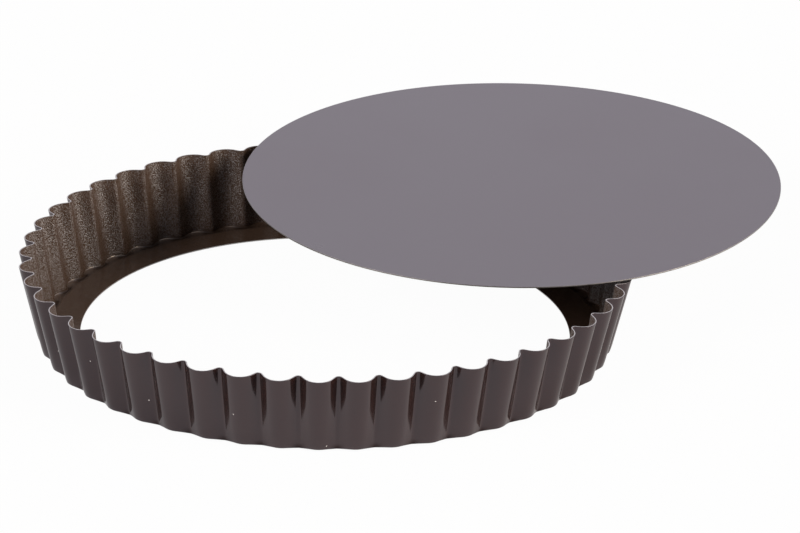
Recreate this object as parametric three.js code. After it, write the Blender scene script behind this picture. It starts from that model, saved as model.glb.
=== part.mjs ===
// Fluted tart pan in two pressings: a ring with a fluted wall and an inward ledge, and a flat loose base.
// The base has been taken out of its seat on the ledge and lies flat across the rim, moved along +X.
// Millimetres, +Z up. The origin is the middle of the part's box, on the surface that the ring stands on.
import * as THREE from "three";

// Ring
const rimDiameter = 280; // over the flutes, at the top
const footDiameter = 262.8; // over the flutes, where the wall bends into the ledge
const ringHeight = 37.8; // at the grooves between the flutes, where the rim stands highest
const rimDrop = 0.6; // from there down to the rim at the middle of a flute
const ringSheet = 0.6;
const fluteCount = 48;
const fluteTurn = 0.9; // degrees, from +X to a groove
const rimFluteDepth = 5.7;
const footFluteDepth = 2.9; // where the wall rises from the bend
const ledgeFluteDepth = 1; // where the ledge goes into the bend
const scallopRadius = 7.7; // round back of a flute, in the middle of the sheet
const rimGrooveRadius = 1.8; // narrow groove between two flutes at the rim, in the middle of the sheet
const footGrooveRadius = 2.8; // the same groove at the foot
const bendRadius = 1.4; // inside the bend from wall to ledge
const ledgeWidth = 15.9; // from the narrowest inside of the wall to the opening

// Loose base
const baseSheet = 0.6;
const baseChamfer = 0.15; // along its cut edge
const baseClearance = 0.3; // all round, between the bend and the base in its seat
const baseShift = 126.2; // from the ring's axis to the base's axis
const restGap = 0.2; // between the rim and the base that lies on it

// Fineness of the meshes
const stepsPerFlute = 8;
const baseSteps = 144;

const rimRadius = rimDiameter / 2;
const footRadius = footDiameter / 2;
const seatRadius = footRadius - footFluteDepth - ringSheet - bendRadius;
const openingRadius = seatRadius + bendRadius - ledgeWidth;
const baseRadius = seatRadius - baseClearance;

const glossLacquer = new THREE.MeshStandardMaterial({
  color: 0x4a4041,
  roughness: 0.35,
  metalness: 0.1,
});
const satinLacquer = new THREE.MeshStandardMaterial({
  color: 0x7f7a80,
  roughness: 0.45,
  metalness: 0.1,
});

// Half a flute, unrolled: a groove arc, a straight flank and a scallop arc, tangent to each other.
// Neither arc is rounder than the pitch and the depth there leave room for.
// Phase 0 is the bottom of a groove, and 0.5 is the middle of a scallop's back.
function fluteAt(phase, { radius, depth, groove }) {
  if (depth === 0) return { rise: 0, share: 0, slope: 0 };
  const halfPitch = (Math.PI * (radius + depth / 2)) / fluteCount;
  const arcRoom = (halfPitch ** 2 + depth ** 2) / (2 * depth);
  const grooveArc = Math.min(groove, arcRoom / 2);
  const bothArcs = Math.min(scallopRadius + grooveArc, arcRoom);
  const backArc = bothArcs - grooveArc;
  const arcDrop = bothArcs - depth;
  const flankAngle =
    Math.asin(Math.min(1, bothArcs / Math.hypot(halfPitch, arcDrop))) -
    Math.atan2(arcDrop, halfPitch);
  const grooveEnd = grooveArc * Math.sin(flankAngle);
  const backStart = halfPitch - backArc * Math.sin(flankAngle);

  const turn = phase - Math.floor(phase);
  const fromGroove = 2 * halfPitch * Math.min(turn, 1 - turn);
  const fromBack = halfPitch - fromGroove;
  let rise, slope;
  if (fromGroove < grooveEnd) {
    const height = Math.sqrt(grooveArc ** 2 - fromGroove ** 2);
    rise = grooveArc - height;
    slope = fromGroove / height;
  } else if (fromGroove < backStart) {
    slope = Math.tan(flankAngle);
    rise =
      grooveArc * (1 - Math.cos(flankAngle)) + (fromGroove - grooveEnd) * slope;
  } else {
    const height = Math.sqrt(backArc ** 2 - fromBack ** 2);
    rise = depth - backArc + height;
    slope = fromBack / height;
  }
  return { rise, share: rise / depth, slope };
}

// The ring's section at a groove: points along the middle of the sheet, from the opening to the rim.
// Each has the flutes' depth, groove radius and drop there.
// out and up point from the middle of the sheet to its outer face.
function ringSection() {
  const { lerp } = THREE.MathUtils;
  const bendMiddle = bendRadius + ringSheet / 2;
  const wallLean = Math.atan((rimRadius - footRadius) / ringHeight);
  const bendTurn = Math.PI / 2 - wallLean;
  const ledgeEdge = {
    radius: openingRadius,
    z: ringSheet / 2,
    depth: 0,
    groove: footGrooveRadius,
    drop: 0,
    out: 0,
    up: -1,
  };
  const bend = [0, 0.5, 1].map((share) => {
    const out = Math.sin(share * bendTurn);
    const up = -Math.cos(share * bendTurn);
    return {
      radius: seatRadius + bendMiddle * out,
      z: ringSheet + bendRadius + bendMiddle * up,
      depth: lerp(ledgeFluteDepth, footFluteDepth, share),
      groove: footGrooveRadius,
      drop: 0,
      out,
      up,
    };
  });
  const foot = bend.at(-1);
  const rimRidge = rimRadius - rimFluteDepth - ringSheet / 2;
  const wall = [0.5, 1].map((share) => ({
    radius: lerp(foot.radius, rimRidge, share),
    z: lerp(foot.z, ringHeight, share),
    depth: lerp(footFluteDepth, rimFluteDepth, share),
    groove: footGrooveRadius * (rimGrooveRadius / footGrooveRadius) ** share,
    drop: share * rimDrop,
    out: 1,
    up: 0,
  }));
  return [ledgeEdge, ...bend, ...wall];
}

// The plain turned section, with its wall then pressed into flutes.
// The sheet keeps its gauge on the steep flanks.
function fluted_ring() {
  const middle = ringSection();
  const outer = middle.map((point) => ({ ...point, half: ringSheet / 2 }));
  const inner = middle.map((point) => ({ ...point, half: -ringSheet / 2 }));
  const outline = [...outer, ...inner.reverse(), outer[0]];
  const turned = outline.map(
    ({ radius, z, half, out, up }) =>
      new THREE.Vector2(radius + half * out, z + half * up),
  );
  const geometry = new THREE.LatheGeometry(turned, fluteCount * stepsPerFlute);
  const position = geometry.getAttribute("position");
  for (let i = 0; i < position.count; i++) {
    const point = outline[i % outline.length];
    const step = Math.floor(i / outline.length);
    const { rise, share, slope } = fluteAt(step / stepsPerFlute, point);
    const gauge = point.half * point.out * Math.hypot(1, slope);
    const scale = (point.radius + rise + gauge) / turned[i % outline.length].x;
    position.setX(i, position.getX(i) * scale);
    position.setY(i, position.getY(i) - point.drop * share);
    position.setZ(i, position.getZ(i) * scale);
  }
  return new THREE.Mesh(geometry.rotateX(Math.PI / 2), glossLacquer);
}

// A flat disc with a fine chamfer along both sides of its cut edge.
function loose_base() {
  const outline = [
    [0, 0],
    [baseRadius - baseChamfer, 0],
    [baseRadius, baseChamfer],
    [baseRadius, baseSheet - baseChamfer],
    [baseRadius - baseChamfer, baseSheet],
    [0, baseSheet],
  ].map(([x, y]) => new THREE.Vector2(x, y));
  const geometry = new THREE.LatheGeometry(outline, baseSteps);
  return new THREE.Mesh(geometry.rotateX(Math.PI / 2), satinLacquer);
}

const reach = Math.max(rimRadius, baseShift + baseRadius);
const ringX = (rimRadius - reach) / 2;

const ring = fluted_ring();
ring.name = "fluted_ring";
ring.position.set(ringX, 0, 0);
ring.rotation.z = THREE.MathUtils.degToRad(fluteTurn);

const base = loose_base();
base.name = "loose_base";
base.position.set(ringX + baseShift, 0, ringHeight + restGap);

const pan = new THREE.Group();
pan.add(ring, base);

export default pan;
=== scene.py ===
"""Looks of a fluted tart pan: fine meshes of its ring and loose base, their coats, and a plain studio."""
import math

import bpy
import numpy as np
from mathutils import Matrix, Vector


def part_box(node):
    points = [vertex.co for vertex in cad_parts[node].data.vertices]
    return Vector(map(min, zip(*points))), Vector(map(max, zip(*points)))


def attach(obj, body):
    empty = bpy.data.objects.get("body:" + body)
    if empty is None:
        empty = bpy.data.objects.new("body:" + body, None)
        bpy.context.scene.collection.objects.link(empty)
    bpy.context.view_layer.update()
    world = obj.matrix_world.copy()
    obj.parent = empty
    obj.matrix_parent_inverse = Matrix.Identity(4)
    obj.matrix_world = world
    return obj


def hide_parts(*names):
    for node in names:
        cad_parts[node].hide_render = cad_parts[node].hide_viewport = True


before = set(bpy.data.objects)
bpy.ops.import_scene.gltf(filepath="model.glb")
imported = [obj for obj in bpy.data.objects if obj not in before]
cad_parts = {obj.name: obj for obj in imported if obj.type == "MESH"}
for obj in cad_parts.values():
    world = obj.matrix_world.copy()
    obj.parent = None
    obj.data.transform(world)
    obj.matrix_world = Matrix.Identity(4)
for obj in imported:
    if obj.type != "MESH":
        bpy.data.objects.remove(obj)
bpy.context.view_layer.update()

MM = 0.001

# Sizes of the ring, in metres; its place and height come from the frame
FLUTE_COUNT = 48
FLUTE_TURN = math.radians(0.9)  # from +X to a groove
SHEET = 0.6 * MM
RIM_RADIUS = 140 * MM
RIM_DROP = 0.6 * MM  # from the rim at a groove, where it stands highest, to the middle of a flute
FOOT_RADIUS = 131.4 * MM
RIM_FLUTE_DEPTH = 5.7 * MM
FOOT_FLUTE_DEPTH = 2.9 * MM  # where the wall rises from the bend
LEDGE_FLUTE_DEPTH = 0.6 * MM  # where the ledge goes into the bend
SCALLOP_RADIUS = 7.7 * MM  # round back of a flute
RIM_GROOVE_RADIUS = 1.8 * MM
FOOT_GROOVE_RADIUS = 2.8 * MM
BEND_RADIUS = 0.9 * MM
TUCK = 0.25 * MM  # by which the flutes' backs are drawn in at the foot
TUCK_FADE = 26  # how fast that goes up the wall
GROOVE_BULGE = 0.25 * MM  # by which the grooves stand out halfway up the wall
LEDGE_WIDTH = 15.9 * MM
EDGE_ROUND = 0.12 * MM  # worn corner of a cut edge
NO_DEPTH = 1e-3 * MM  # depth of flutes on the flat ledge, and the least height of an arc

ring_low, ring_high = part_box("fluted_ring")
RING_HEIGHT = ring_high.z
RING_X = (ring_low.x + ring_high.x) / 2
SEAT_RADIUS = FOOT_RADIUS - FOOT_FLUTE_DEPTH - SHEET - BEND_RADIUS
OPENING_RADIUS = SEAT_RADIUS + BEND_RADIUS - LEDGE_WIDTH
RIM_RIDGE = RIM_RADIUS - RIM_FLUTE_DEPTH - SHEET / 2  # a groove at the rim, in the middle of the sheet

# Sizes of the loose base: its radius, thickness and place come from the frame
base_low, base_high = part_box("loose_base")
BASE_RADIUS = (base_high.y - base_low.y) / 2
BASE_X = (base_low.x + base_high.x) / 2
BASE_BOW = 1.9 * MM  # by which its free end is bent up
BASE_BOW_BEARING = math.radians(-40)  # from +X to that end

# Fineness of the meshes
GROOVE_STEPS = 4
FLANK_STEPS = 3
BACK_STEPS = 8
LEDGE_STEPS = 4
BEND_STEPS = 6
WALL_STEPS = 13
WALL_GRADE = 1.8  # closer rows towards the foot
EDGE_STEPS = 3
HOLD = 0.25 * MM  # from a tight corner to the row beside it, which keeps the shading of the face flat
BASE_STEPS = 288
BASE_RINGS = 24

# Columns of the rows along the ring's section; out and up point from the sheet's middle to its outer face
RADIUS, HEIGHT, DEPTH, GROOVE, DROP, OUT, UP = range(7)

# Regions of each piece's skin, which are also its material slots
OUTSIDE, INSIDE, CUT = range(3)
FACE, EDGE = range(2)

# Values at the points of the ring's skin: height from the bend, and 1 on the ridges that show inside
FROM_BEND = "from_bend"
RIDGE = "ridge"


# Flutes of the wall

def flute_arcs(radius, depth, groove):
    """Half a flute, unrolled: half its pitch, the radii of groove and back, and the flank's angle."""
    half_pitch = math.pi * (radius + depth / 2) / FLUTE_COUNT
    arc_room = (half_pitch**2 + depth**2) / (2 * depth)
    groove_arc = np.minimum(groove, arc_room / 2)
    both_arcs = np.minimum(SCALLOP_RADIUS + groove_arc, arc_room)
    drop = both_arcs - depth
    reach = np.minimum(1, both_arcs / np.hypot(half_pitch, drop))
    flank = np.arcsin(reach) - np.arctan2(drop, half_pitch)
    return half_pitch, groove_arc, both_arcs - groove_arc, flank


def flute_phases():
    """Phases of a flute's columns, from one groove round to the next, closest in the grooves."""
    half_pitch, groove, back, flank = flute_arcs(RIM_RIDGE, RIM_FLUTE_DEPTH, RIM_GROOVE_RADIUS)
    groove_part = groove * np.sin(np.linspace(0, flank, GROOVE_STEPS + 1))
    back_part = half_pitch - back * np.sin(np.linspace(flank, 0, BACK_STEPS + 1))
    flank_part = np.linspace(groove_part[-1], back_part[0], FLANK_STEPS + 1)
    half = np.concatenate([groove_part[:-1], flank_part[:-1], back_part]) / (2 * half_pitch)
    return np.concatenate([half, 1 - half[-2:0:-1]])


def flute_rise(radius, depth, groove, phase):
    """Rise of the flutes above the groove and their slope, for each row and phase."""
    half_pitch, groove, back, flank = flute_arcs(radius, depth, groove)
    from_groove = 2 * half_pitch * np.minimum(phase, 1 - phase)
    from_back = half_pitch - from_groove
    groove_end = groove * np.sin(flank)
    groove_height = np.sqrt(np.maximum(groove**2 - from_groove**2, NO_DEPTH**2))
    back_height = np.sqrt(np.maximum(back**2 - from_back**2, NO_DEPTH**2))
    flank_slope = np.broadcast_to(np.tan(flank), from_groove.shape)
    flank_rise = groove * (1 - np.cos(flank)) + (from_groove - groove_end) * flank_slope
    places = [from_groove < groove_end, from_back > back * np.sin(flank)]
    rise = np.select(places, [groove - groove_height, flank_rise], depth - back + back_height)
    slope = np.select(places, [from_groove / groove_height, flank_slope], from_back / back_height)
    return rise, np.where(phase > 0.5, -slope, slope)


# The ring

def held_shares(steps, length, grade=1.0):
    """Shares of a length, even or closer towards the start, with one more close to either end."""
    hold = HOLD / length
    return np.sort(np.append(np.linspace(0, 1, steps + 1) ** grade, [hold, 1 - hold]))


def rows_between(start, end, steps, length, grade=1.0):
    """Rows from start to end, and their shares of the way."""
    share = held_shares(steps, length, grade)
    return np.asarray(start) + share[:, None] * np.subtract(end, start), share


def bend_rows():
    """Rows round the bend, from the ledge to the foot of the wall."""
    middle_bend = BEND_RADIUS + SHEET / 2
    turn = math.pi / 2 - math.atan((RIM_RADIUS - FOOT_RADIUS) / RING_HEIGHT)
    rows = []
    for share in np.linspace(0, 1, BEND_STEPS + 1):
        out = math.sin(share * turn)
        up = -math.cos(share * turn)
        radius = SEAT_RADIUS + middle_bend * out
        z = SHEET + BEND_RADIUS + middle_bend * up
        depth = LEDGE_FLUTE_DEPTH + share * (FOOT_FLUTE_DEPTH - TUCK - LEDGE_FLUTE_DEPTH)
        rows.append([radius, z, depth, FOOT_GROOVE_RADIUS, 0, out, up])
    return rows


def middle_line():
    """Rows along the middle of the sheet, from the opening to the rim."""
    bend = bend_rows()
    opening = [OPENING_RADIUS + EDGE_ROUND, SHEET / 2, NO_DEPTH, FOOT_GROOVE_RADIUS, 0, 0, -1]
    rim = [RIM_RIDGE, RING_HEIGHT - EDGE_ROUND, RIM_FLUTE_DEPTH, RIM_GROOVE_RADIUS, RIM_DROP, 1, 0]
    ledge, _ = rows_between(opening, bend[0], LEDGE_STEPS, LEDGE_WIDTH)
    wall, climb = rows_between(bend[-1], rim, WALL_STEPS, RING_HEIGHT, WALL_GRADE)
    bulge = GROOVE_BULGE * 4 * climb * (1 - climb)
    wall[:, RADIUS] += bulge
    wall[:, DEPTH] += TUCK * (1 - climb - (1 - climb) ** TUCK_FADE) - bulge
    wall[:, GROOVE] = FOOT_GROOVE_RADIUS * (RIM_GROOVE_RADIUS / FOOT_GROOVE_RADIUS) ** climb
    return np.concatenate([ledge[:-1], bend, wall[1:]])


def edge_profile():
    """Half a cut edge with a rounded corner: sides, as shares of half the sheet, and heights."""
    turn = np.linspace(0, math.pi / 2, EDGE_STEPS + 1)
    side = 1 - EDGE_ROUND * (1 - np.cos(turn)) / (SHEET / 2)
    return side, EDGE_ROUND * np.sin(turn)


def cut_edge(end, along):
    """Rows across a cut edge from the outer face to the inner; along is (radius, z) out of the sheet."""
    side, height = edge_profile()
    side = np.concatenate([side[1:], -side[:0:-1]])
    height = np.concatenate([height[1:], height[:0:-1]])
    rows = np.repeat(end[None], len(side), axis=0)
    rows[:, RADIUS] += along[0] * height
    rows[:, HEIGHT] += along[1] * height
    return rows, side


def ring_outline():
    """Rows right round the section, the side of the sheet that each is on, and the region after it."""
    middle = middle_line()
    rim, rim_side = cut_edge(middle[-1], (0, 1))
    opening, opening_side = cut_edge(middle[0], (-1, 0))
    rows = np.concatenate([middle, rim, middle[::-1], opening[::-1]])
    one = np.ones(len(middle))
    side = np.concatenate([one, rim_side, -one, opening_side[::-1]])
    region = np.concatenate(
        [
            np.full(len(middle) - 1 + EDGE_STEPS, OUTSIDE),
            [CUT],
            np.full(len(middle) - 1 + 2 * EDGE_STEPS, INSIDE),
            [CUT],
            np.full(EDGE_STEPS, OUTSIDE),
        ]
    )
    return rows, side, region


def grid_faces(rows, columns):
    """Quads of a grid that closes on itself both ways."""
    row, column = np.meshgrid(np.arange(rows), np.arange(columns), indexing="ij")
    here, below = row * columns, (row + 1) % rows * columns
    across = (column + 1) % columns
    corners = [here + column, here + across, below + across, below + column]
    return np.stack(corners, axis=-1).reshape(-1, 4)


def new_piece(name, points, faces, materials, slots):
    """A smooth mesh object with one material slot for each region."""
    mesh = bpy.data.meshes.new(name)
    mesh.from_pydata(points.tolist(), [], faces)
    for material in materials:
        mesh.materials.append(material)
    mesh.polygons.foreach_set("material_index", np.asarray(slots, dtype=np.int32))
    mesh.polygons.foreach_set("use_smooth", np.ones(len(mesh.polygons), dtype=bool))
    mesh.update()
    piece = bpy.data.objects.new(name, mesh)
    bpy.context.scene.collection.objects.link(piece)
    return piece


def from_bend(rows):
    """How far up the sheet each row is from where the ledge goes into the bend; below 0 on the ledge."""
    flat = rows[:, OUT] == 0
    return np.where(flat, rows[:, RADIUS] - SEAT_RADIUS, rows[:, HEIGHT] - SHEET / 2)


def add_values(piece, name, values):
    """One number at each point of a mesh, for its materials."""
    attribute = piece.data.attributes.new(name, "FLOAT", "POINT")
    attribute.data.foreach_set("value", np.asarray(values, dtype=np.float32))


def ring_points(rows, side, phase):
    """The section carried round, its gauge kept square to the flutes, and 1 on the ridges inside."""
    flutes = np.arange(FLUTE_COUNT)[:, None]
    angle = FLUTE_TURN + ((flutes + phase) * 2 * math.pi / FLUTE_COUNT).ravel()
    radius, z, depth, groove, drop, out, up = rows.T[:, :, None]
    rise, slope = (np.tile(part, FLUTE_COUNT) for part in flute_rise(radius, depth, groove, phase))
    middle = radius + rise
    turn = slope * (radius + depth / 2)
    length = np.hypot(middle, turn)
    offset = side[:, None] * SHEET / 2
    radial = middle + offset * out * middle / length
    sideways = -offset * out * turn / length
    points = np.stack(
        [
            RING_X + radial * np.cos(angle) - sideways * np.sin(angle),
            radial * np.sin(angle) + sideways * np.cos(angle),
            z + offset * up - drop * rise / depth,
        ],
        axis=-1,
    )
    return points, 1 - rise / depth


def fluted_ring(materials):
    """The pressed ring, a grid of its section's rows and the flutes' columns, with values for its coats."""
    rows, side, region = ring_outline()
    points, ridge = ring_points(rows, side, flute_phases())
    columns = points.shape[1]
    faces = grid_faces(len(rows), columns).tolist()
    piece = new_piece("ring_skin", points.reshape(-1, 3), faces, materials, np.repeat(region, columns))
    add_values(piece, FROM_BEND, np.repeat(from_bend(rows), columns))
    add_values(piece, RIDGE, ridge.ravel())
    return piece


# The loose base

def base_section():
    """Radius and height of rows from the upper face over the edge to the lower; the region after each."""
    half = (base_high.z - base_low.z) / 2
    turn = np.linspace(0, math.pi / 2, EDGE_STEPS + 1)
    corner_radius = BASE_RADIUS - EDGE_ROUND * (1 - np.sin(turn))
    corner_z = half - EDGE_ROUND * (1 - np.cos(turn))
    flat = (BASE_RADIUS - EDGE_ROUND) * held_shares(BASE_RINGS, BASE_RADIUS)[1:-1]
    face_z = np.full(len(flat), half)
    radius = np.concatenate([flat, corner_radius, corner_radius[::-1], flat[::-1]])
    z = np.concatenate([face_z, corner_z, -corner_z[::-1], -face_z])
    region = np.full(len(radius) - 1, FACE)
    region[len(flat) : len(flat) + 2 * EDGE_STEPS + 1] = EDGE
    return radius, z + (base_high.z + base_low.z) / 2, region


def bowed(points):
    """The base's points with its free end bent up, more and more from the middle outwards."""
    way = (math.cos(BASE_BOW_BEARING), math.sin(BASE_BOW_BEARING))
    along = (points[:, 0] - BASE_X) * way[0] + points[:, 1] * way[1]
    points[:, 2] += BASE_BOW * np.maximum(0, along / BASE_RADIUS) ** 2
    return points


def loose_base(materials):
    """A thin disc with eased cut edges, closed by a fan of triangles in the middle of each face."""
    radius, z, region = base_section()
    angle = np.arange(BASE_STEPS) * 2 * math.pi / BASE_STEPS
    points = np.stack(
        [
            BASE_X + radius[:, None] * np.cos(angle),
            radius[:, None] * np.sin(angle),
            np.repeat(z[:, None], BASE_STEPS, axis=1),
        ],
        axis=-1,
    ).reshape(-1, 3)
    last_row = (len(radius) - 1) * BASE_STEPS
    faces = grid_faces(len(radius), BASE_STEPS)[:last_row, ::-1].tolist()
    slots = np.repeat(region, BASE_STEPS).tolist()
    top, bottom = len(points), len(points) + 1
    points = np.concatenate([points, [[BASE_X, 0, base_high.z], [BASE_X, 0, base_low.z]]])
    for step in range(BASE_STEPS):
        after = (step + 1) % BASE_STEPS
        faces.append([top, step, after])
        faces.append([bottom, last_row + after, last_row + step])
        slots += [FACE, FACE]
    return new_piece("base_disc", bowed(points), faces, materials, slots)


# Nodes of the materials

# Places of the Mix node's sockets, of which several have the same name
FACTOR, NUMBER_A, NUMBER_B, COLOUR_A, COLOUR_B = 0, 2, 3, 6, 7
NUMBER_OUT, COLOUR_OUT = 0, 2


def new_material(name):
    material = bpy.data.materials.new(name)
    material.use_nodes = True
    material.node_tree.nodes.clear()
    return material, material.node_tree


def node(tree, kind, inputs, **settings):
    """A new node. An input that is a socket is linked, and any other is set on the node's own socket."""
    made = tree.nodes.new(kind)
    for name, value in settings.items():
        setattr(made, name, value)
    for name, value in inputs.items():
        if isinstance(value, bpy.types.NodeSocket):
            tree.links.new(value, made.inputs[name])
        else:
            made.inputs[name].default_value = value
    return made


def rgba(colour):
    """A colour as a node takes it; a socket stays as it is."""
    return colour if isinstance(colour, bpy.types.NodeSocket) else (*colour, 1.0)


def maths(tree, operation, a, b):
    return node(tree, "ShaderNodeMath", {0: a, 1: b}, operation=operation).outputs[0]


def product(tree, a, b):
    return maths(tree, "MULTIPLY", a, b)


def noise(tree, place, scale, detail=2.0, roughness=0.5):
    inputs = {"Vector": place, "Scale": scale, "Detail": detail, "Roughness": roughness}
    return node(tree, "ShaderNodeTexNoise", inputs).outputs["Fac"]


def spread(tree, value, low, high, to_low=0.0, to_high=1.0):
    """value from low to high, carried to the range from to_low to to_high and held there."""
    inputs = {"Value": value, "From Min": low, "From Max": high, "To Min": to_low, "To Max": to_high}
    return node(tree, "ShaderNodeMapRange", inputs).outputs["Result"]


def remainder(tree, share):
    return spread(tree, share, 0.0, 1.0, 1.0, 0.0)


def mix_colour(tree, share, a, b):
    inputs = {FACTOR: share, COLOUR_A: rgba(a), COLOUR_B: rgba(b)}
    return node(tree, "ShaderNodeMix", inputs, data_type="RGBA").outputs[COLOUR_OUT]


def mix_number(tree, share, a, b):
    return node(tree, "ShaderNodeMix", {FACTOR: share, NUMBER_A: a, NUMBER_B: b}).outputs[NUMBER_OUT]


def mesh_value(tree, name):
    return node(tree, "ShaderNodeAttribute", {}, attribute_name=name).outputs["Fac"]


def object_place(tree):
    return node(tree, "ShaderNodeTexCoord", {}).outputs["Object"]


def bump(tree, height, depth, strength):
    inputs = {"Height": height, "Distance": depth, "Strength": strength}
    return node(tree, "ShaderNodeBump", inputs).outputs["Normal"]


def surface(tree, inputs):
    shader = node(tree, "ShaderNodeBsdfPrincipled", inputs)
    node(tree, "ShaderNodeOutputMaterial", {"Surface": shader.outputs[0]})


# Finishes: a pair of colours goes from dark to light, and the scale of a noise is in waves per metre

NOISE_MIDST = (0.3, 0.7)  # between which most of a noise lies
CLOUD_SCALE = 60.0
CLOUD_DETAIL = 3.0
PLAIN_GLOSS = 0.5  # the shader's usual specular level

# Lacquer on the ring's outside, with painted shade at the feet of its grooves, where its gloss is turned
# down
OUTSIDE_BROWNS = (0.014, 0.0053, 0.0038), (0.019, 0.0074, 0.0054)
OUTSIDE_TINT = (1.0, 0.91, 0.985)
OUTSIDE_IOR = 1.68
OUTSIDE_ROUGHNESS = (0.1, 0.14)
OUTSIDE_PEEL = {"scale": 700.0, "depth": 0.02 * MM, "strength": 0.3}
# painted shade at the grooves' feet, where the gloss is turned down: the next four values
GROOVE_SHADE_HEIGHTS = (0.4 * MM, 3.4 * MM)  # heights from the bend over which a foot gives way to the plain gloss
GROOVE_SHADE_FADE = 1.5
GROOVE_SHADE_FLANKS = (0.5, 0.95)  # ridge values from a foot's sides to its middle
GROOVE_SHADE_GLOSS = 0.08
DUST_PITCH = 9 * MM
DUST_RADIUS = 0.3 * MM
DUST_CORE = 0.8  # share of a grain's radius inside its soft edge
DUST_SHARE = 0.4  # of the cells
DUST_GREY = (0.8, 0.77, 0.74)

# Release coat inside: flecks on the wall, smoother over the ledge
WALL_START = (1.4 * MM, 1.88 * MM)  # heights over which the ledge's coat gives way to the wall's
WALL_BROWNS = (0.05, 0.029, 0.019), (0.062, 0.037, 0.024)
LEDGE_BROWNS = (0.07, 0.042, 0.028), (0.086, 0.053, 0.036)
COAT_ROUGHNESS = (0.16, 0.36)  # on the ledge and on the wall
COAT_BUMP = (0.02, 0.8)
COAT_BUMP_DEPTH = 0.45 * MM
COAT_TINT = (0.96, 0.97, 1.0)
COAT_IOR = 1.5
FLECK_NOISE = {"scale": 1750.0, "detail": 1.0, "roughness": 0.6}
FLECK_BAND = (0.4, 0.62)  # of the noise, from between the flecks to their middles
FLECK_GLOSS = (0.05, 1.05)

# Painted shade in the crease where the ledge meets the wall, and the worn seam in it between the ridges;
# heights from the bend
RIDGE_FLANKS = (0.15, 0.6)  # ridge values from a ridge's sides to its top
CREASE_SHADE_ON_LEDGE = (-1.6 * MM, -0.1 * MM)
CREASE_SHADE_ON_WALL = (0.2 * MM, 2.6 * MM)
CREASE_SHADE_SHARE = (0.3, 0.72)  # between the ridges and on them
# painted shade in the crease: a dark brown and a turned-down gloss
CREASE_SHADE_BROWN = (0.008, 0.005, 0.004)
CREASE_SHADE_GLOSS = 0.05
SEAM_START = (0.0, 0.2 * MM)
SEAM_GLOSS = 1.3
SEAM_TINT = (1.0, 0.84, 0.68)

# Bare cut edges
RING_STEELS = (0.42, 0.4, 0.38), (0.58, 0.55, 0.52)
BASE_STEELS = (0.2, 0.19, 0.18), (0.32, 0.3, 0.285)
STEEL_ROUGHNESS = (0.35, 0.55)
STEEL_SCORE = {"scale": 1200.0, "depth": 0.03 * MM, "strength": 0.4}

# Lacquer on the base
BASE_GREYS = (0.1, 0.085, 0.104), (0.114, 0.096, 0.116)
BASE_CLOUD_SCALE = 14.0
BASE_ROUGHNESS = (0.27, 0.33)
BASE_IOR = 1.5
BASE_PEEL = {"scale": 900.0, "depth": 0.015 * MM, "strength": 0.25}


def orange_peel(tree, place, scale, depth, strength):
    return bump(tree, noise(tree, place, scale), depth, strength)


def dust(tree, place):
    """1 on a few grains, each near the middle of its own cell, and 0 elsewhere."""
    cells = node(tree, "ShaderNodeTexVoronoi", {"Vector": place, "Scale": 1 / DUST_PITCH}).outputs
    reach = DUST_RADIUS / DUST_PITCH
    grain = spread(tree, cells["Distance"], DUST_CORE * reach, reach, 1.0, 0.0)
    chance = node(tree, "ShaderNodeSeparateColor", {0: cells["Color"]}).outputs[0]
    return product(tree, grain, maths(tree, "LESS_THAN", chance, DUST_SHARE))


def groove_foot_shade(tree):
    """Painted shade: 1 at the feet of the grooves, fading up the wall and towards the flutes' backs."""
    low = spread(tree, mesh_value(tree, FROM_BEND), *GROOVE_SHADE_HEIGHTS, 1.0, 0.0)
    groove = spread(tree, mesh_value(tree, RIDGE), *GROOVE_SHADE_FLANKS)
    return product(tree, maths(tree, "POWER", low, GROOVE_SHADE_FADE), groove)


def outside_lacquer():
    """Dark brown semi-gloss lacquer, faint orange peel, a few grains of dust, painted shade at the groove
    feet.
    """
    material, tree = new_material("outside_lacquer")
    place = object_place(tree)
    cloud = noise(tree, place, CLOUD_SCALE, CLOUD_DETAIL)
    brown = mix_colour(tree, cloud, *OUTSIDE_BROWNS)
    surface(
        tree,
        {
            "Base Color": mix_colour(tree, dust(tree, place), brown, DUST_GREY),
            "Roughness": spread(tree, cloud, *NOISE_MIDST, *OUTSIDE_ROUGHNESS),
            "IOR": OUTSIDE_IOR,
            # painted shade: the gloss is turned down at the grooves' feet
            "Specular IOR Level": mix_number(tree, groove_foot_shade(tree), PLAIN_GLOSS, GROOVE_SHADE_GLOSS),
            "Specular Tint": rgba(OUTSIDE_TINT),
            "Normal": orange_peel(tree, place, **OUTSIDE_PEEL),
        },
    )
    return material


def wall_share(tree, place):
    """0 on the ledge and 1 on the wall."""
    height = node(tree, "ShaderNodeSeparateXYZ", {0: place}).outputs["Z"]
    return spread(tree, height, *WALL_START)


def crease_shade_reach(tree):
    """Reach of the crease's painted shade: 1 along the bend, fading over the ledge and up the wall."""
    height = mesh_value(tree, FROM_BEND)
    ledge = spread(tree, height, *CREASE_SHADE_ON_LEDGE)
    return product(tree, ledge, spread(tree, height, *CREASE_SHADE_ON_WALL, 1.0, 0.0))


def seam_share(tree, ridge, wall):
    """1 along the foot of the wall between the ridges."""
    start = spread(tree, mesh_value(tree, FROM_BEND), *SEAM_START)
    return product(tree, product(tree, start, remainder(tree, ridge)), remainder(tree, wall))


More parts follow.
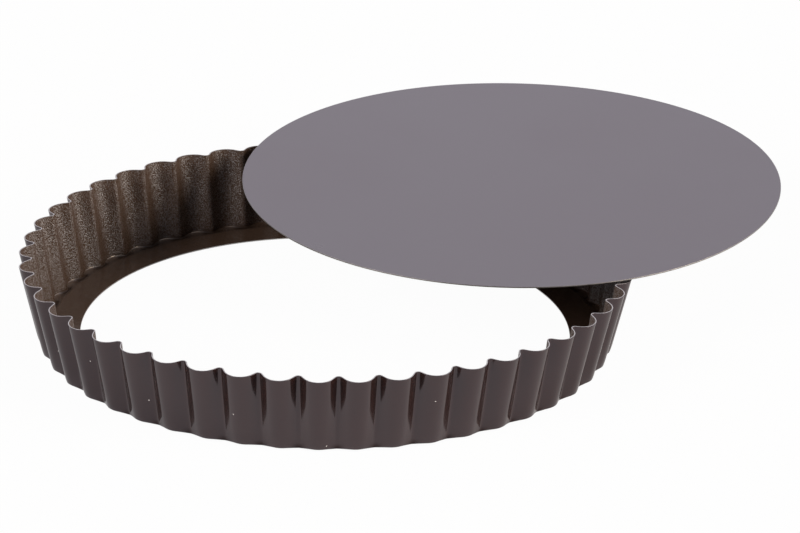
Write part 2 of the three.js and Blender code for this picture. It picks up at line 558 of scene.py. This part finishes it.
def inside_coat():
    """Speckled matt coat on the wall, smooth over the ledge, painted shade in the crease, polished at the
    seam.
    """
    material, tree = new_material("inside_coat")
    place = object_place(tree)
    wall = wall_share(tree, place)
    near = crease_shade_reach(tree)
    ridge = spread(tree, mesh_value(tree, RIDGE), *RIDGE_FLANKS)
    seam = seam_share(tree, ridge, wall)

    cloud = noise(tree, place, CLOUD_SCALE, CLOUD_DETAIL)
    ledge_brown = mix_colour(tree, cloud, *LEDGE_BROWNS)
    brown = mix_colour(tree, wall, ledge_brown, mix_colour(tree, cloud, *WALL_BROWNS))
    # painted shade: darker brown along the crease, strongest at the ridges' feet
    crease_shade = product(tree, near, spread(tree, ridge, 0.0, 1.0, *CREASE_SHADE_SHARE))

    grain = noise(tree, place, **FLECK_NOISE)
    fleck = spread(tree, grain, *FLECK_BAND, *FLECK_GLOSS)
    gloss = mix_number(tree, wall, mix_number(tree, seam, PLAIN_GLOSS, SEAM_GLOSS), fleck)
    surface(
        tree,
        {
            "Base Color": mix_colour(tree, crease_shade, brown, CREASE_SHADE_BROWN),
            "Roughness": spread(tree, wall, 0.0, 1.0, *COAT_ROUGHNESS),
            "IOR": COAT_IOR,
            # painted shade: the gloss is turned down where the ridges meet the bend
            "Specular IOR Level": mix_number(tree, product(tree, near, ridge), gloss, CREASE_SHADE_GLOSS),
            "Specular Tint": mix_colour(tree, seam, COAT_TINT, SEAM_TINT),
            "Normal": bump(tree, grain, COAT_BUMP_DEPTH, spread(tree, wall, 0.0, 1.0, *COAT_BUMP)),
        },
    )
    return material


def cut_steel(name, steels):
    """Bare cut edge of the sheet, scored across by the blanking."""
    material, tree = new_material(name)
    score = noise(tree, object_place(tree), STEEL_SCORE["scale"], CLOUD_DETAIL)
    surface(
        tree,
        {
            "Base Color": mix_colour(tree, score, *steels),
            "Metallic": 1.0,
            "Roughness": spread(tree, score, *NOISE_MIDST, *STEEL_ROUGHNESS),
            "Normal": bump(tree, score, STEEL_SCORE["depth"], STEEL_SCORE["strength"]),
        },
    )
    return material


def base_lacquer():
    """Satin grey-brown lacquer with a faint cloudiness and orange peel."""
    material, tree = new_material("base_lacquer")
    place = object_place(tree)
    cloud = noise(tree, place, BASE_CLOUD_SCALE, CLOUD_DETAIL)
    surface(
        tree,
        {
            "Base Color": mix_colour(tree, cloud, *BASE_GREYS),
            "Roughness": spread(tree, cloud, *NOISE_MIDST, *BASE_ROUGHNESS),
            "IOR": BASE_IOR,
            "Normal": orange_peel(tree, place, **BASE_PEEL),
        },
    )
    return material


# Studio

FLOOR_SIZE = 24.0
FLOOR_WHITE = (0.84, 0.835, 0.87)
FLOOR_MOTTLE = 0.98  # share of that white in its darker patches
FLOOR_MOTTLE_SCALE = 3.0
FLOOR_SEEN = 0.97  # share of a plain white that the camera sees on the floor
FLOOR_MIRRORED = 0.3  # and that a gloss sees
BACKDROP_WHITE = (1.0, 0.99, 1.1)
BACKDROP_BEARING = math.radians(42.5)  # from +X to its middle
BACKDROP_EDGE = (-0.6, 0.2)  # cosines from that bearing, from the dim room to the full white
ROOM_DIM = 0.2  # share of the backdrop's white in the room that faces it
SKY_WHITE = (0.15, 0.15, 0.153)  # what lights the pan besides the softboxes

# Softboxes: bearing from +X, height and the angle that they fill in degrees, strength and colour
SOFTBOXES = {
    "right_softbox": {
        "bearing": -67.0,
        "height": 20.0,
        "across": 40.0,
        "strength": 3.7,
        "colour": (1.0, 0.91, 0.81),
    },
    "left_softbox": {
        "bearing": 167.0,
        "height": 28.0,
        "across": 30.0,
        "strength": 2.2,
        "colour": (1.0, 0.96, 0.94),
    },
}

# Camera, fitted to the rim, the foot, the opening and the base; angles in degrees
CAMERA_PLACE = (-1.97948, -1.81087, 1.15469)
CAMERA_PITCH = 22.999
CAMERA_YAW = -47.456
CAMERA_ROLL = 1.002
FOCAL_PIXELS = 6295.4
IMAGE_WIDTH = 800
SENSOR_WIDTH = 36.0
CLIP_END = 100.0


def dimmed(colour, share):
    return tuple(share * part for part in colour)


def seen_share(tree, camera_share, mirror_share):
    """Share of the plain white that a ray from the camera, or from a gloss or a glass, is shown."""
    rays = node(tree, "ShaderNodeLightPath", {}).outputs
    mirrored = maths(tree, "MAXIMUM", rays["Is Glossy Ray"], rays["Is Transmission Ray"])
    seen = product(tree, rays["Is Camera Ray"], camera_share)
    return maths(tree, "ADD", seen, product(tree, mirrored, mirror_share))


def floor_white():
    """Pale matt floor, with a plain white over most of what the camera sees of it."""
    material, tree = new_material("studio_floor")
    mottle = noise(tree, object_place(tree), FLOOR_MOTTLE_SCALE)
    tone = mix_colour(tree, mottle, FLOOR_WHITE, dimmed(FLOOR_WHITE, FLOOR_MOTTLE))
    lit = node(tree, "ShaderNodeBsdfDiffuse", {"Color": tone})
    white = node(tree, "ShaderNodeEmission", {"Color": (1, 1, 1, 1), "Strength": 1.0})
    share = seen_share(tree, FLOOR_SEEN, FLOOR_MIRRORED)
    both = node(tree, "ShaderNodeMixShader", {0: share, 1: lit.outputs[0], 2: white.outputs[0]})
    node(tree, "ShaderNodeOutputMaterial", {"Surface": both.outputs[0]})
    return material


def studio_floor():
    """A pale floor that keeps the pan's shadow."""
    half = FLOOR_SIZE / 2
    corners = np.array([[-half, -half, 0], [half, -half, 0], [half, half, 0], [-half, half, 0]])
    floor = new_piece("studio_floor", corners, [[0, 1, 2, 3]], [floor_white()], [0])


def studio_surround():
    """A white backdrop behind the pan, a dim room before it, and a weak even light."""
    world = bpy.data.worlds.new("studio")
    bpy.context.scene.world = world
    world.use_nodes = True
    tree = world.node_tree
    tree.nodes.clear()
    way = node(tree, "ShaderNodeTexCoord", {}).outputs["Generated"]
    back = (math.cos(BACKDROP_BEARING), math.sin(BACKDROP_BEARING), 0.0)
    along = node(tree, "ShaderNodeVectorMath", {0: way, 1: back}, operation="DOT_PRODUCT").outputs["Value"]
    room = dimmed(BACKDROP_WHITE, ROOM_DIM)
    backdrop = mix_colour(tree, spread(tree, along, *BACKDROP_EDGE), room, BACKDROP_WHITE)
    colour = mix_colour(tree, seen_share(tree, 1.0, 1.0), SKY_WHITE, backdrop)
    surround = node(tree, "ShaderNodeBackground", {"Color": colour, "Strength": 1.0})
    node(tree, "ShaderNodeOutputWorld", {"Surface": surround.outputs[0]})


def studio_softbox(name, bearing, height, across, strength, colour):
    """A broad, distant softbox."""
    lamp = bpy.data.lights.new(name, "SUN")
    lamp.energy = strength
    lamp.color = colour
    lamp.angle = math.radians(across)
    softbox = bpy.data.objects.new(name, lamp)
    softbox.rotation_euler = (0, math.radians(90 - height), math.radians(bearing))
    bpy.context.scene.collection.objects.link(softbox)


def studio_camera():
    """A long lens at the photographed angle."""
    pitch, yaw, roll = (math.radians(angle) for angle in (CAMERA_PITCH, CAMERA_YAW, CAMERA_ROLL))
    right = Vector((math.cos(yaw), math.sin(yaw), 0))
    ahead = Vector((-math.sin(yaw), math.cos(yaw), 0))
    up = Vector((0, 0, 1))
    look = math.cos(pitch) * ahead - math.sin(pitch) * up
    level_top = math.cos(pitch) * up + math.sin(pitch) * ahead
    across = math.cos(roll) * right + math.sin(roll) * level_top
    top = math.cos(roll) * level_top - math.sin(roll) * right
    lens = bpy.data.cameras.new("photo_camera")
    lens.sensor_width = SENSOR_WIDTH
    lens.lens = FOCAL_PIXELS / IMAGE_WIDTH * SENSOR_WIDTH
    lens.clip_end = CLIP_END
    camera = bpy.data.objects.new("photo_camera", lens)
    turned = Matrix((across, top, -look)).transposed().to_4x4()
    camera.matrix_world = Matrix.Translation(CAMERA_PLACE) @ turned
    bpy.context.scene.collection.objects.link(camera)
    bpy.context.scene.camera = camera


ring_edge = cut_steel("ring_edge", RING_STEELS)
base_edge = cut_steel("base_edge", BASE_STEELS)

ring = fluted_ring([outside_lacquer(), inside_coat(), ring_edge])
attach(ring, "ring")
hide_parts("fluted_ring")

base = loose_base([base_lacquer(), base_edge])
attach(base, "base")
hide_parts("loose_base")

studio_floor()
studio_surround()
for softbox_name, setting in SOFTBOXES.items():
    studio_softbox(softbox_name, **setting)
studio_camera()
bpy.context.scene.view_settings.view_transform = "Standard"
